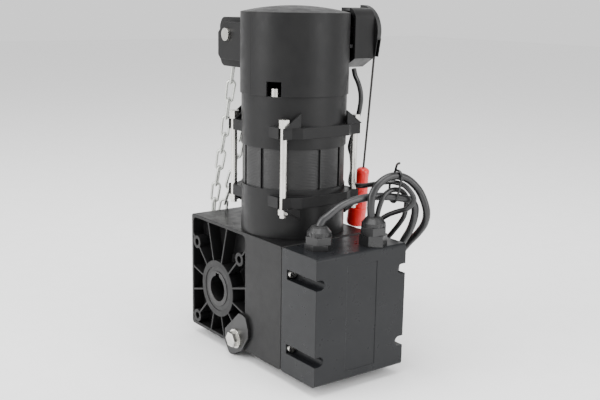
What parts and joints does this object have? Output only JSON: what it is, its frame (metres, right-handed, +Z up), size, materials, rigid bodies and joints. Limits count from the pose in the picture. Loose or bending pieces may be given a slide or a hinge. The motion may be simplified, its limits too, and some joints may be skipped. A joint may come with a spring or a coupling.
{
  "type": "garage door opener",
  "caption": "Side-mounted industrial door opener: worm gearbox with hollow shaft, flanged motor, cable hood, hand-chain drive and red clutch pull.",
  "frame": {"origin": "centre of the hollow shaft bore at the mounting side", "axes": "+Y along the shaft bore away from the mounting side, +X towards the terminal hood, +Z up along the motor"},
  "size_m": [0.3325, 0.223, 0.3317],
  "materials": {
    "cast": "satin",
    "hood_plastic": "satin",
    "zinc": "satin",
    "steel": "satin",
    "brass": "satin",
    "rubber": "matte",
    "black_metal": "satin",
    "black_plastic": "satin",
    "board": "satin",
    "grey_plastic": "satin",
    "stator_iron": "satin",
    "copper": "satin",
    "red_plastic": "gloss",
    "black_cord": "matte",
    "chain_zinc": "satin",
    "grey_cable": "matte",
    "black_cable": "matte"
  },
  "bodies": {
    "housing": {"gear_housing": "cast", "rear_cover": "cast", "cover_screws": "zinc", "shaft_bearings": "steel", "shaft_seals": "rubber", "worm_bearings": "steel", "anchor_lug": "black_metal", "anchor_plate": "black_metal", "flange_bolt": "zinc", "terminal_hood": "hood_plastic", "hood_gasket": "rubber", "hood_screws": "zinc", "circuit_board": "board", "terminal_block": "grey_plastic", "limit_belt": "rubber", "gland_bodies": "black_plastic", "gland_nuts": "black_plastic", "grommets": "rubber", "lower_bell": "cast", "stator_core": "stator_iron", "windings": "copper", "upper_bell": "cast", "tie_bolts": "zinc", "cap_rear": "cast", "cap_cover": "cast", "cap_screws": "zinc", "guard_body": "cast", "guard_cover": "cast", "guard_pin": "zinc", "release_housing": "cast", "return_spring": "zinc", "chain_front": "chain_zinc", "chain_back": "chain_zinc", "chain_coil": "chain_zinc", "cable_a": "grey_cable", "coil_a": "grey_cable", "plug_a": "black_plastic", "cable_b": "black_cable", "coil_b": "black_cable", "plug_b": "black_plastic", "link_cable": "black_cable", "motor_lead": "black_cable"},
    "motor": {"worm_shaft": "steel", "rotor_core": "steel"},
    "output": {"hollow_shaft": "steel", "worm_wheel": "brass", "drive_pulley": "grey_plastic"},
    "limit_cam": {"cam_shaft": "steel"},
    "hand_wheel": {"chain_wheel": "steel"},
    "idler_a": {"idler_one": "steel"},
    "idler_b": {"idler_two": "steel"},
    "cross_shaft": {"cross_gear": "steel"},
    "crown": {"crown_gear": "steel"},
    "clutch": {"clutch_sleeve": "brass"},
    "fork": {"shift_fork": "steel"},
    "lever": {"release_lever": "black_metal", "release_crank": "steel"},
    "handle": {"pull_handle": "red_plastic", "release_cord": "black_cord"}
  },
  "joints": [
    {"name": "motor_spin", "type": "hinge", "parent": "housing", "child": "motor", "pos_m": [0.0535, 0.0505, 0], "axis": [0, 0, 1], "continuous": true},
    {"name": "output_spin", "type": "hinge", "parent": "housing", "child": "output", "pos_m": [0, 0.0505, 0], "axis": [0, 1, 0], "continuous": true},
    {"name": "limit_spin", "type": "hinge", "parent": "housing", "child": "limit_cam", "pos_m": [0.129, 0.0505, 0], "axis": [0, 1, 0], "continuous": true},
    {"name": "hand_spin", "type": "hinge", "parent": "housing", "child": "hand_wheel", "pos_m": [-0.0145, 0.04, 0.2345], "axis": [0, 1, 0], "continuous": true},
    {"name": "idler_a_spin", "type": "hinge", "parent": "housing", "child": "idler_a", "pos_m": [0.00642, 0.027, 0.2345], "axis": [0, 1, 0], "continuous": true},
    {"name": "idler_b_spin", "type": "hinge", "parent": "housing", "child": "idler_b", "pos_m": [0.02735, 0.027, 0.2345], "axis": [0, 1, 0], "continuous": true},
    {"name": "cross_spin", "type": "hinge", "parent": "housing", "child": "cross_shaft", "pos_m": [0.0535, 0.027, 0.2345], "axis": [0, 1, 0], "continuous": true},
    {"name": "crown_spin", "type": "hinge", "parent": "housing", "child": "crown", "pos_m": [0.0535, 0.0505, 0.22], "axis": [0, 0, 1], "continuous": true},
    {"name": "lever_turn", "type": "hinge", "parent": "housing", "child": "lever", "pos_m": [0.066, 0.12, 0.25], "axis": [0, 1, 0], "range_deg": [0, 19], "stiffness_Nm_per_rad": 0.4},
    {"name": "clutch_slide", "type": "slide", "parent": "housing", "child": "clutch", "axis": [0, 0, 1], "range_m": [-0.0027, 0]},
    {"name": "fork_slide", "type": "slide", "parent": "housing", "child": "fork", "axis": [0, 0, 1], "range_m": [-0.0027, 0]},
    {"name": "handle_pull", "type": "slide", "parent": "housing", "child": "handle", "axis": [0, 0, 1], "range_m": [-0.00795, 0]}
  ],
  "couplings": [
    {"joint": "output_spin", "follows": "motor_spin", "ratio": 0.025},
    {"joint": "limit_spin", "follows": "motor_spin", "ratio": 0.05},
    {"joint": "idler_a_spin", "follows": "hand_spin", "ratio": -1},
    {"joint": "idler_b_spin", "follows": "hand_spin", "ratio": 1},
    {"joint": "cross_spin", "follows": "hand_spin", "ratio": -0.66667},
    {"joint": "crown_spin", "follows": "hand_spin", "ratio": 0.39216},
    {"joint": "lever_turn", "follows": "handle_pull", "rad_per_m": -41.667},
    {"joint": "clutch_slide", "follows": "handle_pull", "ratio": 0.3375},
    {"joint": "fork_slide", "follows": "handle_pull", "ratio": 0.3375}
  ]
}
